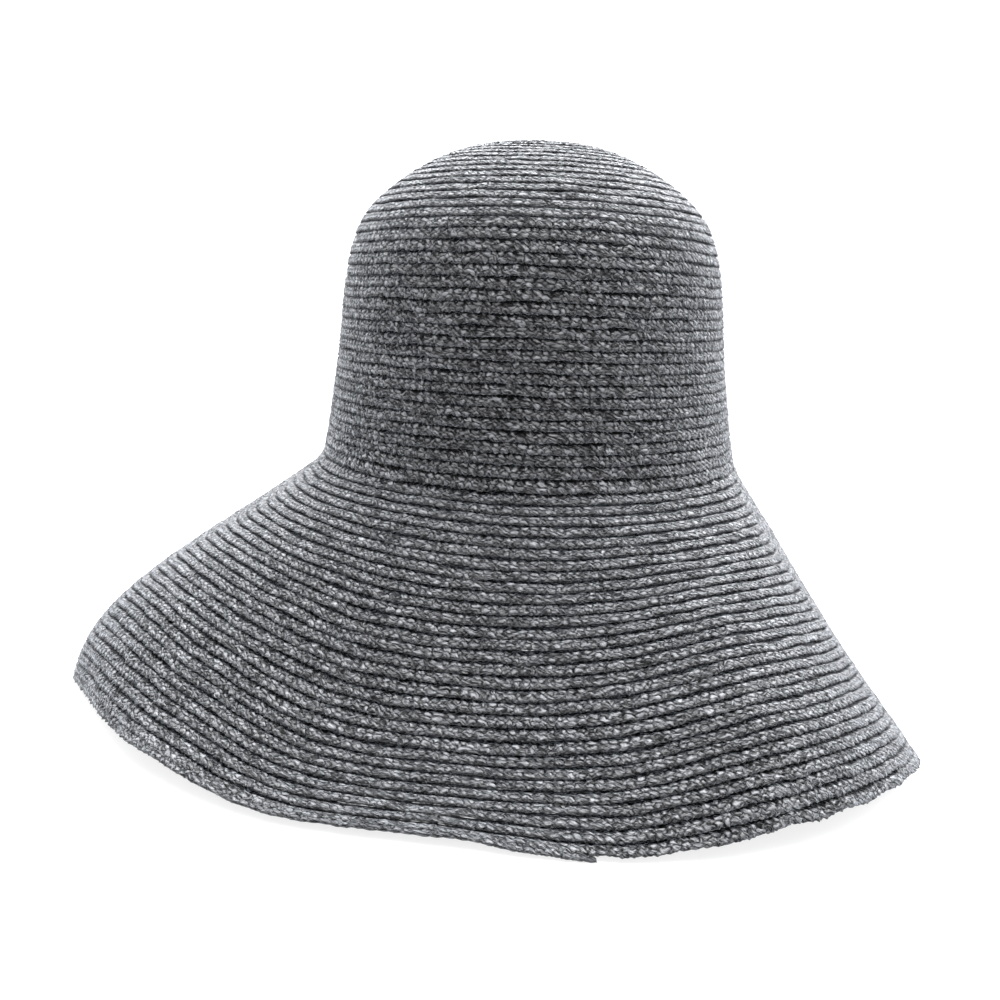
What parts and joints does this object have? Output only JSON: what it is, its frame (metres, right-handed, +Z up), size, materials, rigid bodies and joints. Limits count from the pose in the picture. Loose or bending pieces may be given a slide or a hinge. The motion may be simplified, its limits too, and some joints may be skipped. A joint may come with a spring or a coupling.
{
  "type": "wide-brimmed braided straw sun hat",
  "caption": "Dark grey sun hat of plaited straw braid with a domed crown and a wide, softly waved, drooping brim.",
  "frame": {"origin": "on the floor, under the middle of the hat's box", "axes": "+Z up through the crown, -Y towards the hat's front, +X to the right of a viewer who faces the front"},
  "size_m": [0.3542, 0.3868, 0.237],
  "materials": {
    "straw": "plaited straw, matt with a faint sheen"
  },
  "bodies": {
    "root": {"crown_tip": "straw", "crown_side": "straw", "brim": "straw", "brim_edge": "straw"}
  },
  "joints": []
}
